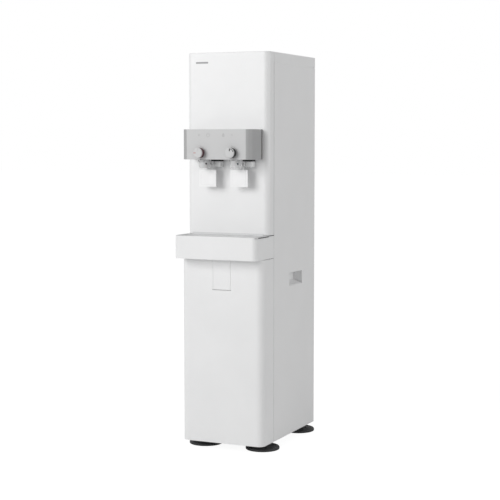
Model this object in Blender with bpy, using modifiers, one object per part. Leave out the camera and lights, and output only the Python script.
"""Floor-standing water dispenser with a hot and a cold tap, as separate named parts.

Metres, +Z up, front towards -Y. The origin is on the floor, under the middle of the
overall box. Run it with: blender --background --python part.py
"""
import math

import bmesh
import bpy
from mathutils import Matrix, Vector

# ---- driving dimensions ------------------------------------------------------------
BODY_W = 0.260                 # across the side panels
BODY_H = 1.133                 # from the casing's lower edge to its top
BASE_Z = 0.0235                # the casing's lower edge above the floor
FRONT = -0.1766                # the lower front panel's face
UPPER = FRONT + 0.042          # the upper front panel's face
TRAY_FRONT = FRONT - 0.046     # the drip tray's face
SEAM = FRONT + 0.080           # where front covers meet the side panels
BACK = FRONT + 0.398           # the rear panel's face

WALL = 0.0025                  # moulded covers and sheet panels
GAP = 0.0004                   # running gap between neighbours
SEAM_GAP = 0.0012              # open joint that shows between two covers

TOP = BASE_Z + BODY_H
CAP_Z = TOP - 0.030            # lower edge of the top cover's skirt
TRAY_LOW = BASE_Z + 0.541
TRAY_HIGH = BASE_Z + 0.6075
TRAY_LIP = 0.0030              # the tray's front lip, ahead of the grille
GRILLE_T = 0.0040
GRILLE_RISE = 0.0055           # turned-up rear edge of the grille
R_UPPER, R_LOWER, R_TRAY = 0.016, 0.020, 0.014

TAP_X = 0.050                  # each tap's distance from the middle
BAND_HALF_W = 0.1085           # tap housing
BAND_FRONT = FRONT - 0.036
BAND_LOW = BASE_Z + 0.826
BAND_HIGH = BASE_Z + 0.912
BAND_WALL = 0.003
R_BAND = 0.018

KNOB_Z = BASE_Z + 0.845
KNOB_R = 0.0145
KNOB_T = 0.016
KNOB_RIM = 0.0012              # skirt's rim round the cap
STEM_R = 0.0035

SPOUT_Y = FRONT - 0.006
SPOUT_R = 0.019
SPOUT_LOW = BASE_Z + 0.802
NOZZLE_R = 0.0065
BRACKET_X = (-0.016, 0.038)    # ends of the bracket, each side of its tap
BRACKET_T = 0.0050
EAR_T = 0.0030

LEVER_W = 0.054
LEVER_LOW, LEVER_HIGH = BASE_Z + 0.747, BASE_Z + 0.796
LEVER_FACE = FRONT + 0.011
LEVER_T = 0.0040
PIN_Y, PIN_Z = FRONT + 0.0205, BASE_Z + 0.8105
PIN_R = 0.0020

FLAP_HALF_W = 0.0275
FLAP_LOW = BASE_Z + 0.450
FLAP_GAP = 0.0008              # open joint round the flap
FLAP_T = 0.0025
FLAP_PIVOT_DROP = 0.0070       # the service flap's pivot below the tray
LOCK_Z = BASE_Z + 0.492

GRIP_Y = (FRONT + 0.195, FRONT + 0.293)
GRIP_Z = (BASE_Z + 0.4485, BASE_Z + 0.487)
GRIP_DEPTH = 0.028
GRIP_WALL = 0.002

FOOT_X = 0.0925
FOOT_Y = (FRONT + 0.084, FRONT + 0.357)
FOOT_R = 0.050
STUD_R = 0.006

HOT_SHELF_Z = BASE_Z + 0.575   # decks that carry the tanks
COLD_SHELF_Z = BASE_Z + 0.780
SHELF_T = 0.0020
PORT_R = 0.006                 # drain hole in each vessel's foot
HOSE_R = 0.0045
COLD_TANK = {"x": 0.0, "y": FRONT + 0.215, "low": BASE_Z + 0.795, "high": BASE_Z + 1.035, "r": 0.075}
JACKET_T = 0.018
HOT_TANK = {"x": -0.030, "y": FRONT + 0.235, "low": BASE_Z + 0.600, "high": BASE_Z + 0.765, "r": 0.058}
COMPRESSOR = {"x": 0.0, "y": FRONT + 0.285, "low": BASE_Z + 0.010, "high": BASE_Z + 0.190, "r": 0.068}
FILTER_X = (-0.078, 0.0, 0.078)
FILTER_Y = FRONT + 0.060
FILTER_R = 0.031
FILTER_LOW, FILTER_HIGH = BASE_Z + 0.070, BASE_Z + 0.360
CONDENSER = {"half_w": 0.085, "y": FRONT + 0.383, "low": BASE_Z + 0.240, "high": BASE_Z + 0.960,
             "runs": 9, "r": 0.0025}

DRAIN_X, DRAIN_Z = 0.060, BASE_Z + 0.062
SWITCH_X, SWITCH_Z = 0.062, BASE_Z + 0.150
INLET_Z = BASE_Z + 0.120
WATER_Z = BASE_Z + 0.200

HALF_W = BODY_W / 2
REAR_HALF_W = HALF_W - 0.014   # rear panel, between the side panels' return flanges

WHITE = (0.86, 0.865, 0.87)
LIGHT_GREY = (0.60, 0.605, 0.61)
MID_GREY = (0.42, 0.425, 0.43)
CHARCOAL = (0.045, 0.045, 0.048)
BLACK = (0.012, 0.012, 0.013)
DARK_RED = (0.10, 0.015, 0.022)
STEEL = (0.62, 0.63, 0.64)


# ---- scene and materials -----------------------------------------------------------
def clear_scene():
    for obj in list(bpy.data.objects):
        bpy.data.objects.remove(obj)


def new_collection(name):
    made = bpy.data.collections.new(name)
    bpy.context.scene.collection.children.link(made)
    return made


def material(name, colour, roughness=0.45, metallic=0.0, transmission=0.0):
    found = bpy.data.materials.get(name)
    if found:
        return found
    made = bpy.data.materials.new(name)
    made.use_nodes = True
    shader = made.node_tree.nodes["Principled BSDF"]
    shader.inputs["Base Color"].default_value = (*colour, 1)
    shader.inputs["Roughness"].default_value = roughness
    shader.inputs["Metallic"].default_value = metallic
    shader.inputs["Transmission Weight"].default_value = transmission
    return made


clear_scene()
PARTS = new_collection("water_dispenser")
CUTTERS = new_collection("cutters")
WHITE_SHELL = material("white_shell", WHITE, 0.42)
GREY_SHELL = material("grey_shell", LIGHT_GREY, 0.40)
GREY_TRAY = material("grey_tray", MID_GREY, 0.50)
DARK_PLASTIC = material("dark_plastic", CHARCOAL, 0.55)
BLACK_PLASTIC = material("black_plastic", BLACK, 0.45)
RED_PLASTIC = material("red_plastic", DARK_RED, 0.35)
CLEAR_PLASTIC = material("clear_plastic", (0.92, 0.93, 0.94), 0.06, 0.0, 0.85)
SHEET_STEEL = material("sheet_steel", STEEL, 0.38, 1.0)
FOAM = material("foam", (0.78, 0.78, 0.76), 0.90)
GREEN_BOARD = material("green_board", (0.03, 0.16, 0.08), 0.55)
SILICONE = material("silicone", (0.80, 0.81, 0.80), 0.50)


# ---- modelling helpers -------------------------------------------------------------
def keep(name, mesh, finish, collection=None):
    """Put a finished mesh in the scene under its own name."""
    obj = bpy.data.objects.new(name, mesh)
    (collection or PARTS).objects.link(obj)
    if finish:
        mesh.materials.append(finish)
    return obj


def set_origin(obj, point):
    """Move an object's origin to a point, such as one on its joint's axis, and keep its shape in place."""
    point = Vector(point)
    obj.data.transform(Matrix.Translation(obj.location - point))
    obj.location = point
    return obj


def smooth(obj, angle=35):
    obj.data.shade_smooth()
    obj.data.set_sharp_from_angle(angle=math.radians(angle))
    return obj


def block(name, low, high, finish, radius=0.0, rounded="none", segments=6, collection=None):
    """A box between two corners. rounded says which upright edges are rounded: none, front, back or all."""
    mesh = bpy.data.meshes.new(name)
    bm = bmesh.new()
    size = [h - l for l, h in zip(low, high)]
    middle = [(h + l) / 2 for l, h in zip(low, high)]
    bmesh.ops.create_cube(bm, size=1.0, matrix=Matrix.LocRotScale(middle, None, size))
    if radius > 0 and rounded != "none":
        upright = [e for e in bm.edges if abs(e.verts[0].co.z - e.verts[1].co.z) > size[2] / 2]
        if rounded == "front":
            upright = [e for e in upright if e.verts[0].co.y < middle[1]]
        elif rounded == "back":
            upright = [e for e in upright if e.verts[0].co.y > middle[1]]
        bmesh.ops.bevel(bm, geom=upright, offset=radius, segments=segments, profile=0.5, affect="EDGES")
    bm.to_mesh(mesh)
    bm.free()
    return smooth(keep(name, mesh, finish, collection))


def cylinder(name, centre, radius, length, axis, finish, sides=24, collection=None):
    """A cylinder about a point."""
    mesh = bpy.data.meshes.new(name)
    bm = bmesh.new()
    turn = Vector((0, 0, 1)).rotation_difference(Vector(axis)).to_matrix().to_4x4()
    bmesh.ops.create_cone(bm, cap_ends=True, segments=sides, radius1=radius, radius2=radius, depth=length,
                          matrix=Matrix.Translation(centre) @ turn)
    bm.to_mesh(mesh)
    bm.free()
    return smooth(keep(name, mesh, finish, collection))


def turned(name, profile, centre, finish, axis="Z", sides=32, collection=None):
    """Turn a profile of (radius, height) points, top to bottom, about an upright or front-to-back axis."""
    mesh = bpy.data.meshes.new(name)
    bm = bmesh.new()
    points = [bm.verts.new((r, 0, z)) for r, z in profile]
    for first, second in zip(points, points[1:]):
        bm.edges.new((first, second))
    bm.to_mesh(mesh)
    bm.free()
    obj = keep(name, mesh, finish, collection)
    screw = obj.modifiers.new("turn", "SCREW")
    screw.steps = screw.render_steps = sides
    screw.use_merge_vertices = True
    screw.merge_threshold = 0.00001
    apply_modifiers(obj)
    if axis == "-Y":
        obj.data.transform(Matrix.Rotation(math.radians(90), 4, "X"))
    elif axis == "+Y":
        obj.data.transform(Matrix.Rotation(math.radians(-90), 4, "X"))
    obj.location = centre
    return smooth(obj)


def ring_profile(outer, inner, high, low):
    """A tube's closed section, down the outer side and up the inner one."""
    return [(inner, high), (outer, high), (outer, low), (inner, low), (inner, high)]


def apply_modifiers(obj):
    """Replace an object's mesh by its evaluated one."""
    graph = bpy.context.evaluated_depsgraph_get()
    made = bpy.data.meshes.new_from_object(obj.evaluated_get(graph))
    made.name = obj.name
    obj.modifiers.clear()
    obj.data = made
    return obj


def combine(obj, others, operation):
    """Cut or join other shapes into a part, and remove them."""
    for other in others:
        boolean = obj.modifiers.new(operation.lower(), "BOOLEAN")
        boolean.operation = operation
        boolean.solver = "EXACT"
        boolean.object = other
        apply_modifiers(obj)
        bpy.data.objects.remove(other)
    return smooth(obj)


def cut(obj, *others):
    return combine(obj, others, "DIFFERENCE")


def join(obj, *others):
    return combine(obj, others, "UNION")


def cutter(low, high, radius=0.0, rounded="none", segments=6):
    return block("cutter", low, high, None, radius, rounded, segments, CUTTERS)


def round_cutter(centre, radius, length, axis, sides=24):
    return cylinder("cutter", centre, radius, length, axis, None, sides, CUTTERS)


def tube(name, points, radius, finish):
    """A tube bent along points, with its ends closed, as a mesh."""
    curve = bpy.data.curves.new(name, "CURVE")
    curve.dimensions = "3D"
    curve.bevel_depth = radius
    curve.bevel_resolution = 2
    curve.use_fill_caps = True
    route = rounded_route(points, radius * 3)
    spline = curve.splines.new("POLY")
    spline.points.add(len(route) - 1)
    for point, place in zip(spline.points, route):
        point.co = (*place, 1)
    source = bpy.data.objects.new(name + "_path", curve)
    PARTS.objects.link(source)
    graph = bpy.context.evaluated_depsgraph_get()
    mesh = bpy.data.meshes.new_from_object(source.evaluated_get(graph))
    mesh.name = name
    bpy.data.objects.remove(source)
    bm = bmesh.new()
    bm.from_mesh(mesh)
    bmesh.ops.remove_doubles(bm, verts=bm.verts, dist=0.00001)
    bm.to_mesh(mesh)
    bm.free()
    mesh.materials.clear()
    return smooth(keep(name, mesh, finish), 60)


def rounded_route(points, radius, steps=3):
    """The same route with each corner replaced by a short arc."""
    points = [Vector(p) for p in points]
    route = [points[0]]
    for before, corner, after in zip(points, points[1:], points[2:]):
        reach = min(radius, (corner - before).length * 0.45, (after - corner).length * 0.45)
        start = corner + (before - corner).normalized() * reach
        end = corner + (after - corner).normalized() * reach
        for step in range(steps + 1):
            t = step / steps
            route.append(start.lerp(corner, t).lerp(corner.lerp(end, t), t))
    route.append(points[-1])
    return route


# ---- casing ------------------------------------------------------------------------
def upper_front_panel():
    low_z, high_z = TRAY_HIGH + GAP, TOP
    panel = block("upper_front_panel", (-HALF_W, UPPER, low_z), (HALF_W, SEAM - SEAM_GAP, high_z),
                  WHITE_SHELL, R_UPPER, "front", 8)
    hose_hatch = cutter((-0.075, UPPER - 0.01, BAND_LOW + 0.010), (0.075, UPPER + 0.01, BAND_HIGH - 0.012))
    inside = cutter((-HALF_W + WALL, UPPER + WALL, low_z - 0.01), (HALF_W - WALL, SEAM + 0.01, high_z - WALL),
                    R_UPPER - WALL, "front", 8)
    return cut(panel, inside, hose_hatch)


def lower_front_panel():
    low_z, high_z = BASE_Z, TRAY_LOW - SEAM_GAP
    panel = block("lower_front_panel", (-HALF_W, FRONT, low_z), (HALF_W, SEAM - SEAM_GAP, high_z),
                  WHITE_SHELL, R_LOWER, "front", 8)
    inside = cutter((-HALF_W + WALL, FRONT + WALL, low_z - 0.01), (HALF_W - WALL, SEAM + 0.01, high_z + 0.01),
                    R_LOWER - WALL, "front", 8)
    flap_window = cutter((-FLAP_HALF_W - GAP, FRONT - 0.01, FLAP_LOW - FLAP_GAP),
                         (FLAP_HALF_W + GAP, FRONT + 0.01, high_z + 0.01))
    cut(panel, inside, flap_window)
    return join(panel, flap_pocket())


def flap_pocket():
    """Shallow box moulded behind the service flap, open at its top, with a hole for the lock's stem."""
    half = FLAP_HALF_W + 0.006
    low_y, high_y = FRONT + WALL - 0.0005, FRONT + 0.020
    low_z, high_z = FLAP_LOW - 0.006, TRAY_LOW - SEAM_GAP
    pocket = block("pocket", (-half, low_y, low_z), (half, high_y, high_z), None)
    hollow = cutter((-half + 0.002, low_y - 0.01, low_z + 0.002),
                    (half - 0.002, high_y - 0.002, high_z + 0.01))
    stem_hole = round_cutter((0, high_y, LOCK_Z), 0.0045, 0.02, (0, 1, 0), 16)
    return cut(pocket, hollow, stem_hole)


def service_flap():
    """Cover plate that hangs from a pivot rod moulded along its upper edge."""
    pivot_z = TRAY_LOW - FLAP_PIVOT_DROP
    pivot_y = FRONT + 0.0048
    flap = block("service_flap", (-FLAP_HALF_W, FRONT, FLAP_LOW),
                 (FLAP_HALF_W, FRONT + FLAP_T, pivot_z + 0.0042), WHITE_SHELL)
    arm = block("arm", (-0.020, FRONT + 0.001, pivot_z - 0.0015), (0.020, pivot_y, pivot_z + 0.0015), None)
    rod = cylinder("rod", (0, pivot_y, pivot_z), 0.0018, 0.0622, (1, 0, 0), None, 12)
    return set_origin(join(flap, arm, rod), (0, pivot_y, pivot_z))


def panel_lock():
    """Quarter-turn screw with a wing grip, behind the service flap."""
    head_low, head_high = FRONT + 0.0055, FRONT + 0.0095
    head = cylinder("panel_lock", (0, FRONT + 0.0135, LOCK_Z), 0.0100, 0.0040, (0, 1, 0), DARK_PLASTIC, 20)
    wing = block("wing", (-0.0020, head_low, LOCK_Z - 0.0085),
                 (0.0020, FRONT + 0.0120, LOCK_Z + 0.0085), None)
    stem = cylinder("stem", (0, FRONT + 0.0205, LOCK_Z), 0.0040, 0.012, (0, 1, 0), None, 16)
    return set_origin(join(head, wing, stem), (0, head_high, LOCK_Z))


def side_panel(name, side):
    """Sheet side with a return flange at the rear and a window for the grip cup."""
    outer, inner = side * HALF_W, side * (HALF_W - WALL)
    flange_end = side * (HALF_W - 0.013)
    low_x, high_x = sorted((outer, flange_end))
    panel = block(name, (low_x, SEAM, BASE_Z), (high_x, BACK, CAP_Z - SEAM_GAP), WHITE_SHELL)
    edge = [e for e in panel.data.edges if all(
        abs(panel.data.vertices[v].co.x - outer) < 1e-5 and abs(panel.data.vertices[v].co.y - BACK) < 1e-5
        for v in e.vertices)]
    round_edges(panel, edge, 0.006, 5)
    low_x, high_x = sorted((inner, side * (HALF_W - 0.030)))
    hollow = cutter((low_x, SEAM - 0.01, BASE_Z - 0.01), (high_x, BACK - WALL, TOP))
    low_x, high_x = sorted((side * (HALF_W + 0.01), side * (HALF_W - 0.01)))
    window = cutter((low_x, GRIP_Y[0], GRIP_Z[0]), (high_x, GRIP_Y[1], GRIP_Z[1]))
    return cut(panel, hollow, window)


def round_edges(obj, edges, radius, segments):
    bm = bmesh.new()
    bm.from_mesh(obj.data)
    bm.edges.ensure_lookup_table()
    chosen = [bm.edges[e.index] for e in edges]
    bmesh.ops.bevel(bm, geom=chosen, offset=radius, segments=segments, profile=0.5, affect="EDGES")
    bm.to_mesh(obj.data)
    bm.free()


def grip_cup(name, side):
    """Recessed handle: a moulded cup behind the side panel's window, with a sloping floor."""
    face = HALF_W - WALL - GAP
    low_x, high_x = sorted((side * face, side * (face - GRIP_DEPTH)))
    rim = 0.004
    cup = block(name, (low_x, GRIP_Y[0] - rim, GRIP_Z[0] - rim), (high_x, GRIP_Y[1] + rim, GRIP_Z[1] + rim),
                WHITE_SHELL)
    low_x, high_x = sorted((side * (face + 0.01), side * (face - GRIP_DEPTH + GRIP_WALL)))
    inner_low = (low_x, GRIP_Y[0] - rim + GRIP_WALL, GRIP_Z[0] - rim + GRIP_WALL)
    inner_high = (high_x, GRIP_Y[1] + rim - GRIP_WALL, GRIP_Z[1] + rim - GRIP_WALL)
    hollow = cutter(inner_low, inner_high)
    for vertex in hollow.data.vertices:
        deep = abs(vertex.co.x) < face - GRIP_DEPTH / 2
        if deep and vertex.co.z < GRIP_Z[0] + 0.01:
            vertex.co.z += 0.012
    return cut(cup, hollow)


def top_cover():
    """Cap with a skirt at the sides and the rear."""
    cover = block("top_cover", (-HALF_W, SEAM, CAP_Z), (HALF_W, BACK, TOP), WHITE_SHELL, 0.006, "back", 5)
    inside = cutter((-HALF_W + WALL, SEAM - 0.01, CAP_Z - 0.01), (HALF_W - WALL, BACK - WALL, TOP - WALL))
    return cut(cover, inside)


def rear_panel():
    """Sheet back with vent slots and the windows for the connections."""
    low_z, high_z = BASE_Z + 0.001, CAP_Z - SEAM_GAP
    panel = block("rear_panel", (-REAR_HALF_W, BACK - WALL, low_z), (REAR_HALF_W, BACK, high_z), WHITE_SHELL)
    vent_count, vent_pitch, vent_low = 10, 0.030, BASE_Z + 0.640
    for row in range(vent_count):
        z = vent_low + row * vent_pitch
        cut(panel, cutter((-0.075, BACK - 0.01, z), (0.075, BACK + 0.01, z + 0.007)))
    inlet = cutter((-0.0145, BACK - 0.01, INLET_Z - 0.0105), (0.0145, BACK + 0.01, INLET_Z + 0.0105))
    cut(panel, inlet, round_cutter((0, BACK, WATER_Z), 0.0085, 0.02, (0, 1, 0), 20))
    for side in (-1, 1):
        x = side * SWITCH_X
        window = cutter((x - 0.0110, BACK - 0.01, SWITCH_Z - 0.0080),
                        (x + 0.0110, BACK + 0.01, SWITCH_Z + 0.0080))
        cut(panel, window, round_cutter((side * DRAIN_X, BACK, DRAIN_Z), 0.0095, 0.02, (0, 1, 0), 20))
    return panel


def base_pan():
    """Folded floor pan that carries the feet and the compressor."""
    half = HALF_W - WALL - GAP
    low_y, high_y = FRONT + WALL + 0.004, BACK - WALL - GAP
    pan = block("base_pan", (-half, low_y, BASE_Z + 0.001), (half, high_y, BASE_Z + 0.026), SHEET_STEEL,
                R_LOWER - 0.003, "front", 4)
    sheet = 0.0015
    cut(pan, cutter((-half + sheet, low_y + sheet, BASE_Z + 0.001 + sheet),
                    (half - sheet, high_y - sheet, BASE_Z + 0.05), R_LOWER - 0.003 - sheet, "front", 4))
    for x in (-FOOT_X, FOOT_X):
        for y in FOOT_Y:
            cut(pan, round_cutter((x, y, BASE_Z), STUD_R + 0.0005, 0.02, (0, 0, 1), 16))
    return pan


def tank_shelf(name, low_z):
    """Deck across the casing, with a folded lip at its front and rear, that carries a tank."""
    half = HALF_W - WALL - GAP
    low_y, high_y = SEAM + 0.040, BACK - 0.026
    shelf = block(name, (-half, low_y, low_z), (half, high_y, low_z + 0.016), SHEET_STEEL)
    return cut(shelf, cutter((-half - 0.01, low_y + SHELF_T, low_z + SHELF_T),
                             (half + 0.01, high_y - SHELF_T, TOP)))


def foot(name, x, y):
    """Wide levelling pad with its threaded stud."""
    pad_profile = [(0, 0.0150), (0.012, 0.0150), (0.015, 0.0125), (0.020, 0.0120), (0.043, 0.0090),
                   (0.048, 0.0080), (FOOT_R, 0.0060), (FOOT_R, 0.0010), (0.0490, 0), (0, 0)]
    pad = turned("foot_pad_" + name, pad_profile, (x, y, 0), DARK_PLASTIC, "Z", 32)
    stud = cylinder("foot_stud_" + name, (x, y, 0.0153 + 0.0165), STUD_R, 0.033, (0, 0, 1), SHEET_STEEL, 12)
    return pad, stud


# ---- tap unit ----------------------------------------------------------------------
def tap_housing():
    """Band across the front that holds both taps, open at the back."""
    high_y = UPPER - GAP
    band = block("tap_housing", (-BAND_HALF_W, BAND_FRONT, BAND_LOW), (BAND_HALF_W, high_y, BAND_HIGH),
                 GREY_SHELL, R_BAND, "front", 8)
    inside = cutter((-BAND_HALF_W + BAND_WALL, BAND_FRONT + BAND_WALL, BAND_LOW + BAND_WALL),
                    (BAND_HALF_W - BAND_WALL, UPPER + 0.01, BAND_HIGH - BAND_WALL),
                    R_BAND - BAND_WALL, "front", 8)
    cut(band, inside)
    for side in (-1, 1):
        x = side * TAP_X
        cut(band, round_cutter((x, BAND_FRONT, KNOB_Z), STEM_R + 0.0004, 0.02, (0, 1, 0), 16),
            round_cutter((x, SPOUT_Y, BAND_LOW), NOZZLE_R + 0.0020, 0.02, (0, 0, 1), 20))
    return band


def icon_x():
    """The four indicator lights, spread over the two taps."""
    return (-0.0535, -0.0245, 0.0230, 0.0505)


def icon_light_guide():
    """Clear bar behind the housing's face that carries the light to the four indicators."""
    z = BASE_Z + 0.8955
    low_y = BAND_FRONT + BAND_WALL + GAP
    bar = block("icon_light_guide", (-0.066, low_y, z - 0.006), (0.066, low_y + 0.005, z + 0.006),
                CLEAR_PLASTIC)
    pegs = [cylinder("peg", (x, low_y + 0.006, z), 0.0035, 0.006, (0, 1, 0), None, 12) for x in icon_x()]
    return join(bar, *pegs)


def control_board():
    low_y = BAND_FRONT + 0.020
    z = BASE_Z + 0.888
    return block("control_board", (-0.085, low_y, z - 0.014), (0.085, low_y + 0.0016, z + 0.018), GREEN_BOARD)


def knob(name, x, finish):
    """Dark knob skirt with a shallow seat for its cap, and its stem."""
    face = BAND_FRONT - GAP
    seat_r, seat_z = KNOB_R - KNOB_RIM, KNOB_T - 0.0012
    profile = [(0, seat_z), (seat_r, seat_z), (seat_r, KNOB_T), (KNOB_R - 0.0005, KNOB_T),
               (KNOB_R, KNOB_T - 0.0006), (KNOB_R, 0), (0, 0)]
    made = turned(name, profile, (x, face, KNOB_Z), finish, "-Y", 32)
    stem = cylinder("stem", (x, face + 0.0095, KNOB_Z), STEM_R, 0.020, (0, 1, 0), None, 16)
    return set_origin(join(set_origin(made, (0, 0, 0)), stem), (x, face, KNOB_Z))


def knob_cap(name, x):
    """Light face disc with a raised pointer."""
    seat = BAND_FRONT - GAP - KNOB_T + 0.0012
    cap_r, cap_t = KNOB_R - KNOB_RIM - GAP, 0.0016
    cap = cylinder(name, (x, seat - GAP - cap_t / 2, KNOB_Z), cap_r, cap_t, (0, 1, 0), GREY_SHELL, 32)
    pointer = block("pointer", (x - 0.0009, seat - 0.0026, KNOB_Z + 0.0040),
                    (x + 0.0009, seat - 0.0010, KNOB_Z + cap_r - 0.0010), None)
    return set_origin(join(cap, pointer), (x, seat, KNOB_Z))


def valve(name, x):
    """Tap valve behind the knob: a body, a hose barb at the rear and an outlet that feeds the nozzle."""
    low_y, high_y = SPOUT_Y - 0.0100, SPOUT_Y + 0.0160
    body = block(name, (x - 0.012, low_y, KNOB_Z - 0.0080), (x + 0.012, high_y, KNOB_Z + 0.0120),
                 DARK_PLASTIC)
    barb = cylinder("barb", (x, high_y + 0.008, KNOB_Z + 0.003), 0.0040, 0.018, (0, 1, 0), None, 12)
    return join(body, barb)


def nozzle(name, x):
    """Outlet tube that comes down through the housing into the clear collar."""
    high_z, low_z = KNOB_Z - 0.0080 - GAP, SPOUT_LOW + 0.004
    length = high_z - low_z
    profile = ring_profile(NOZZLE_R, NOZZLE_R - 0.0018, length, 0)
    return turned(name, profile, (x, SPOUT_Y, low_z), SILICONE, "Z", 20)


def spout_collar(name, x):
    """Clear collar round the nozzle, wider at its upper flange."""
    high = BAND_LOW - GAP
    depth = high - SPOUT_LOW
    outer, wall = SPOUT_R, 0.0022
    profile = [(outer - 0.004, depth), (outer, depth - 0.001), (outer, depth - 0.005),
               (outer - 0.0015, depth - 0.006), (outer - 0.0030, 0.0010), (outer - 0.0038, 0),
               (outer - 0.0030 - wall, 0), (outer - 0.0015 - wall, depth - 0.006),
               (outer - 0.0015 - wall, depth), (outer - 0.004, depth)]
    return turned(name, profile, (x, SPOUT_Y, SPOUT_LOW), CLEAR_PLASTIC, "Z", 32)


def tap_bracket(name, x):
    """Black carrier under the housing, against the upper front panel, with ears for the lever's pin."""
    high_z, high_y = BAND_LOW - GAP, UPPER - GAP
    low_y = FRONT + 0.020
    plate = block(name, (x + BRACKET_X[0], low_y, high_z - BRACKET_T), (x + BRACKET_X[1], high_y, high_z),
                  BLACK_PLASTIC)
    pieces = []
    for side in (-1, 1):
        low_x, high_x = sorted((x + side * 0.0125, x + side * (0.0125 + EAR_T)))
        pieces.append(block("ear", (low_x, PIN_Y - 0.0045, PIN_Z - 0.0045),
                            (high_x, low_y + 0.006, high_z - 0.001), None))
    join(plate, *pieces)
    return cut(plate, round_cutter((x, PIN_Y, PIN_Z), PIN_R - 0.0006, 0.05, (1, 0, 0), 16))


def lever_pin(name, x):
    """Hinge pin between the bracket's ears, clear of the lever's bore."""
    return cylinder(name, (x, PIN_Y, PIN_Z), PIN_R, 0.0242, (1, 0, 0), SHEET_STEEL, 16)


def lever(name, x):
    """Push plate on a hinge hub, pressed back by a cup."""
    plate = block(name, (x - LEVER_W / 2, LEVER_FACE, LEVER_LOW),
                  (x + LEVER_W / 2, LEVER_FACE + LEVER_T, LEVER_HIGH), WHITE_SHELL)
    shelf = block("shelf", (x - 0.0110, LEVER_FACE + 0.0010, LEVER_HIGH - 0.0040),
                  (x + 0.0110, PIN_Y + 0.0016, LEVER_HIGH - 0.0004), None)
    arm = block("arm", (x - 0.0110, PIN_Y - 0.0020, LEVER_HIGH - 0.0020),
                (x + 0.0110, PIN_Y + 0.0016, PIN_Z), None)
    hub = cylinder("hub", (x, PIN_Y, PIN_Z), 0.0044, 0.0230, (1, 0, 0), None, 20)
    join(plate, shelf, arm, hub)
    cut(plate, round_cutter((x, PIN_Y, PIN_Z), PIN_R + 0.0005, 0.05, (1, 0, 0), 20))
    return set_origin(plate, (x, PIN_Y, PIN_Z))


# ---- drip tray ---------------------------------------------------------------------
def drip_tray():
    """Basin that slides out to the front, with a closed deck at its rear, under the upper front panel."""
    high_z, rear_y = TRAY_HIGH - GRILLE_T - GAP, SEAM - SEAM_GAP
    tray = block("drip_tray", (-HALF_W, TRAY_FRONT, TRAY_LOW), (HALF_W, rear_y, TRAY_HIGH - GAP), WHITE_SHELL,
                 R_TRAY, "front", 8)
    basin = cutter((-HALF_W + TRAY_LIP, TRAY_FRONT + TRAY_LIP, TRAY_LOW + TRAY_LIP),
                   (HALF_W - TRAY_LIP, rear_y - TRAY_LIP, TRAY_HIGH + 0.01), R_TRAY - TRAY_LIP, "front", 8)
    grille_room = cutter((-HALF_W - 0.01, TRAY_FRONT + TRAY_LIP, high_z),
                         (HALF_W + 0.01, rear_y + 0.01, TRAY_HIGH))
    cut(tray, basin, grille_room)
    deck = block("deck", (-HALF_W, UPPER + GAP, high_z - TRAY_LIP), (HALF_W, rear_y, TRAY_HIGH - GAP), None)
    return join(tray, deck)


def drip_grille():
    """Lift-off grey plate with a group of drain slots under each tap and a turned-up rear edge."""
    low_z, high_z = TRAY_HIGH - GRILLE_T, TRAY_HIGH
    rear_y = UPPER - GAP
    plate = block("drip_grille", (-HALF_W, TRAY_FRONT + TRAY_LIP + GAP, low_z), (HALF_W, rear_y, high_z),
                  GREY_TRAY, R_TRAY - TRAY_LIP, "front", 8)
    rise_half = HALF_W - R_UPPER
    rise = block("rise", (-rise_half, rear_y - 0.0020, low_z + 0.001),
                 (rise_half, rear_y, high_z + GRILLE_RISE), None)
    join(plate, rise)
    slot_count, slot_pitch, slot_w = 7, 0.0075, 0.0040
    for side in (-1, 1):
        x = side * TAP_X
        for row in range(slot_count):
            y = SPOUT_Y + (row - (slot_count - 1) / 2) * slot_pitch
            cut(plate, cutter((x - 0.027, y - slot_w / 2, low_z - 0.01),
                              (x + 0.027, y + slot_w / 2, high_z + 0.01)))
    return plate


# ---- inside ------------------------------------------------------------------------
def dome_profile(radius, low, high, dome):
    """Half outline of an upright vessel with rounded ends, from its top edge down to its lower one."""
    angles = [math.radians(a) for a in (30, 60, 90)]
    upper = [(radius * math.sin(a), high - dome * (1 - math.cos(a))) for a in angles]
    lower = [(radius * math.sin(a), low + dome * (1 - math.cos(a))) for a in angles]
    return upper + lower[::-1]


def vessel(name, size, dome, wall, finish, sides=24):
    """Hollow upright vessel with domed ends and a drain hole in its foot."""
    height, radius = size["high"] - size["low"], size["r"]
    outside = [(0, height)] + dome_profile(radius, 0, height, dome) + [(PORT_R, 0)]
    inside = [(0, height - wall)] + dome_profile(radius - wall, wall, height - wall, dome) + [(PORT_R, wall)]
    profile = outside + inside[::-1]
    return turned(name, profile, (size["x"], size["y"], size["low"]), finish, "Z", sides)


def cold_tank_jacket():
    """Insulating sleeve round the cold tank."""
    height = COLD_TANK["high"] - COLD_TANK["low"]
    inner = COLD_TANK["r"] + 0.001
    profile = ring_profile(inner + JACKET_T, inner, height - 0.020, 0.010)
    place = (COLD_TANK["x"], COLD_TANK["y"], COLD_TANK["low"])
    return turned("cold_tank_jacket", profile, place, FOAM, "Z", 28)


def filter_cartridge(name, x):
    """Round cartridge with a domed foot and a twist-in neck."""
    height = FILTER_HIGH - FILTER_LOW
    profile = [(0, height), (0.012, height), (0.012, height - 0.016), (FILTER_R - 0.004, height - 0.020),
               (FILTER_R, height - 0.026), (FILTER_R, 0.020), (FILTER_R * 0.87, 0.007),
               (FILTER_R * 0.5, 0.0015), (0, 0)]
    return turned(name, profile, (x, FILTER_Y, FILTER_LOW), WHITE_SHELL, "Z", 24)


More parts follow.
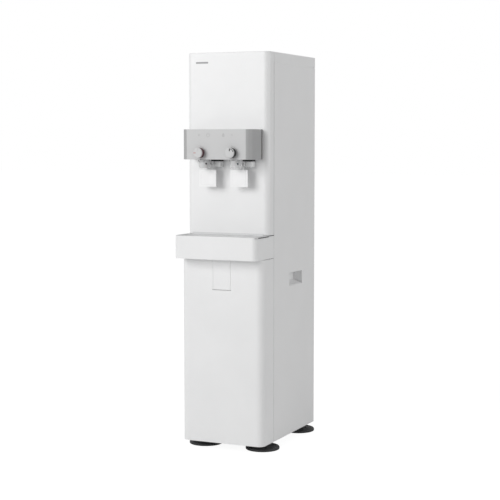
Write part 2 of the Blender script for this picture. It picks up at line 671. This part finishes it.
def filter_head():
    """Manifold bar with a socket for each cartridge's neck."""
    low_z, high_z = FILTER_HIGH - 0.013, FILTER_HIGH + 0.018
    bar = block("filter_head", (FILTER_X[0] - 0.030, FILTER_Y - 0.017, low_z),
                (FILTER_X[-1] + 0.030, FILTER_Y + 0.017, high_z), DARK_PLASTIC)
    for x in FILTER_X:
        cut(bar, round_cutter((x, FILTER_Y, low_z), 0.0126, 0.028, (0, 0, 1), 24))
    return bar


def condenser():
    """Serpentine tube inside the rear panel."""
    runs, half = CONDENSER["runs"], CONDENSER["half_w"]
    pitch = (CONDENSER["high"] - CONDENSER["low"]) / (runs - 1)
    points = []
    for run in range(runs):
        z = CONDENSER["low"] + run * pitch
        ends = (-half, half) if run % 2 == 0 else (half, -half)
        points += [(x, CONDENSER["y"], z) for x in ends]
    return tube("condenser", points, CONDENSER["r"], BLACK_PLASTIC)


def compressor():
    return vessel("compressor", COMPRESSOR, 0.050, 0.006, BLACK_PLASTIC)


def power_board():
    """Power supply on the tank shelf."""
    low_x = 0.092
    return block("power_board", (low_x, SEAM + 0.045, HOT_SHELF_Z + 0.006),
                 (low_x + 0.030, SEAM + 0.150, HOT_SHELF_Z + 0.060), GREEN_BOARD)


def hoses():
    """Hose from each tank's outlet to its tap valve."""
    barb_end = SPOUT_Y + 0.0160 + 0.017 + GAP
    barb_z = KNOB_Z + 0.003
    cold_side = COLD_TANK["y"] - COLD_TANK["r"] - JACKET_T - 0.012
    over_z = COLD_TANK["high"] + 0.020
    tube("cold_hose", [(TAP_X, barb_end, barb_z), (TAP_X, cold_side, barb_z), (TAP_X, cold_side, over_z),
                       (TAP_X, COLD_TANK["y"], over_z), (TAP_X * 0.3, COLD_TANK["y"], over_z)],
         HOSE_R, SILICONE)
    hot_z = HOT_TANK["low"] + 0.100
    tank_face = HOT_TANK["y"] - HOT_TANK["r"] * 0.94 - 0.004
    tube("hot_hose", [(-TAP_X, barb_end, barb_z), (-TAP_X, cold_side, barb_z), (-TAP_X, cold_side, hot_z),
                      (-TAP_X, tank_face, hot_z)], HOSE_R, SILICONE)


# ---- rear connections --------------------------------------------------------------
def power_inlet():
    """Three-pin appliance socket, set in the rear panel."""
    socket = block("power_inlet", (-0.0140, BACK - 0.020, INLET_Z - 0.0100),
                   (0.0140, BACK + 0.0005, INLET_Z + 0.0100), BLACK_PLASTIC)
    cut(socket, cutter((-0.0115, BACK - 0.015, INLET_Z - 0.0075), (0.0115, BACK + 0.01, INLET_Z + 0.0075)))
    pins = [block("pin", (x - 0.001, BACK - 0.016, INLET_Z + z - 0.002),
                  (x + 0.001, BACK - 0.006, INLET_Z + z + 0.002), None)
            for x, z in ((-0.006, -0.002), (0.006, -0.002), (0, 0.003))]
    return join(socket, *pins)


def tank_switch(name, side):
    """Rocker with two sloping halves that turns a tank's heating or cooling on and off."""
    x, pivot_y = side * SWITCH_X, BACK - 0.004
    rocker = cylinder(name, (x, pivot_y, SWITCH_Z), 0.0045, 0.0180, (1, 0, 0), BLACK_PLASTIC, 16)
    for tilt in (-1, 1):
        half = block("half", (x - 0.0090, pivot_y - 0.0020, SWITCH_Z),
                     (x + 0.0090, pivot_y + 0.0040, SWITCH_Z + 0.0066), None)
        place = Matrix.Translation((0, pivot_y, SWITCH_Z))
        turn = Matrix.Rotation(math.radians(-8), 4, "X")
        flip = Matrix.Diagonal((1, 1, tilt, 1))
        half.data.transform(place @ flip @ turn @ place.inverted())
        if tilt < 0:
            half.data.flip_normals()
        join(rocker, half)
    return set_origin(rocker, (x, pivot_y, SWITCH_Z))


def drain_cap(name, side):
    """Screw cap on a tank's drain, with a bar grip."""
    x = side * DRAIN_X
    cap = cylinder(name, (x, BACK + 0.001, DRAIN_Z), 0.0090, 0.010, (0, 1, 0), DARK_PLASTIC, 24)
    bar = block("bar", (x - 0.0015, BACK + 0.005, DRAIN_Z - 0.0080),
                (x + 0.0015, BACK + 0.0080, DRAIN_Z + 0.0080), None)
    return set_origin(join(cap, bar), (x, BACK, DRAIN_Z))


def water_inlet():
    """Push-in elbow for the supply tube."""
    profile = ring_profile(0.0080, 0.0042, 0.030, 0)
    return turned("water_inlet", profile, (0, BACK - 0.0225, WATER_Z), WHITE_SHELL, "+Y", 20)


# ---- the whole object --------------------------------------------------------------
def build():
    upper_front_panel()
    lower_front_panel()
    service_flap()
    panel_lock()
    for name, side in (("left", -1), ("right", 1)):
        side_panel("side_panel_" + name, side)
        grip_cup("grip_cup_" + name, side)
    top_cover()
    rear_panel()
    base_pan()
    tank_shelf("hot_tank_shelf", HOT_SHELF_Z)
    tank_shelf("cold_tank_shelf", COLD_SHELF_Z)
    for side_name, x in (("left", -FOOT_X), ("right", FOOT_X)):
        foot("front_" + side_name, x, FOOT_Y[0])
        foot("rear_" + side_name, x, FOOT_Y[1])
    tap_housing()
    icon_light_guide()
    control_board()
    for name, x, finish in (("hot", -TAP_X, RED_PLASTIC), ("cold", TAP_X, BLACK_PLASTIC)):
        knob(name + "_knob", x, finish)
        knob_cap(name + "_knob_cap", x)
        valve(name + "_valve", x)
        nozzle(name + "_nozzle", x)
        spout_collar(name + "_spout_collar", x)
        tap_bracket(name + "_tap_bracket", x)
        lever_pin(name + "_lever_pin", x)
        lever(name + "_lever", x)
        side = -1 if name == "hot" else 1
        tank_switch(name + "_switch", side)
        drain_cap(name + "_drain_cap", side)
    drip_tray()
    drip_grille()
    vessel("cold_tank", COLD_TANK, 0.020, 0.0015, SHEET_STEEL)
    cold_tank_jacket()
    vessel("hot_tank", HOT_TANK, 0.018, 0.0015, SHEET_STEEL)
    compressor()
    condenser()
    for number, x in enumerate(FILTER_X, 1):
        filter_cartridge(f"filter_{number}", x)
    filter_head()
    power_board()
    hoses()
    power_inlet()
    water_inlet()


build()
